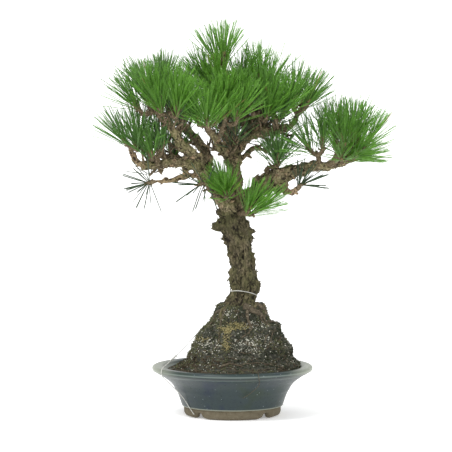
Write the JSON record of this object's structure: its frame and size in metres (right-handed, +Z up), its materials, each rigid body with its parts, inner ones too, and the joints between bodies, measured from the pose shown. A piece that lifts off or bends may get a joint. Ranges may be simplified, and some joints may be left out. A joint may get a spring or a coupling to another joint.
{
  "type": "pine bonsai",
  "caption": "Japanese black pine bonsai with a bare leaning trunk, tiered needle clusters and a mounded root ball in a round wide-lipped glazed pot.",
  "frame": {"origin": "middle of the bounding box's base, on the plane that the pot stands on", "axes": "+Z up from the foot to the top of the crown; -Y towards the viewer of the picture; +X to the viewer's right, the side of the long bough"},
  "size_m": [0.5762, 0.3928, 0.7419],
  "materials": {
    "stoneware": "blue-green glaze over stoneware, bare clay on the foot",
    "soil": "damp soil with roots, moss and white grit",
    "bark": "rough flaking bark",
    "needles": "fresh green needles on brown twigs",
    "wire": "bare drawn wire"
  },
  "bodies": {
    "root": {"apex": "needles", "apex_front": "needles", "apex_leader": "bark", "apex_left": "needles", "apex_rear": "needles", "apex_right": "needles", "back_bough": "bark", "back_left_bough": "bark", "back_right_bough": "bark", "big_right_bough": "bark", "burl_front": "needles", "burl_right": "needles", "centre_front": "needles", "centre_left": "needles", "hook": "bark", "hook_sparse": "needles", "left_bough": "bark", "left_bough_sparse": "needles", "left_front": "needles", "left_leader": "bark", "left_outer": "needles", "left_rear": "needles", "left_upper": "needles", "low_left_back": "needles", "low_left_bough": "bark", "low_left_inner": "needles", "low_left_outer": "needles", "low_left_sparse": "needles", "low_left_tip": "bark", "low_twig": "bark", "mid_left_bough": "bark", "outer_right_bough": "bark", "outer_right_centre": "needles", "outer_right_front": "needles", "outer_right_left": "needles", "outer_right_low": "needles", "outer_right_rear": "needles", "outer_right_top": "needles", "pot": "stoneware", "rear_centre": "needles", "rear_low": "needles", "rear_right": "needles", "right_front": "needles", "right_inner": "needles", "right_leader": "bark", "right_top": "needles", "small_right": "needles", "small_right_twig": "bark", "soil": "soil", "tie_wire": "wire", "trunk": "bark", "upper_right_bough": "bark", "upper_right_inner": "needles", "upper_right_outer": "needles"}
  },
  "joints": []
}
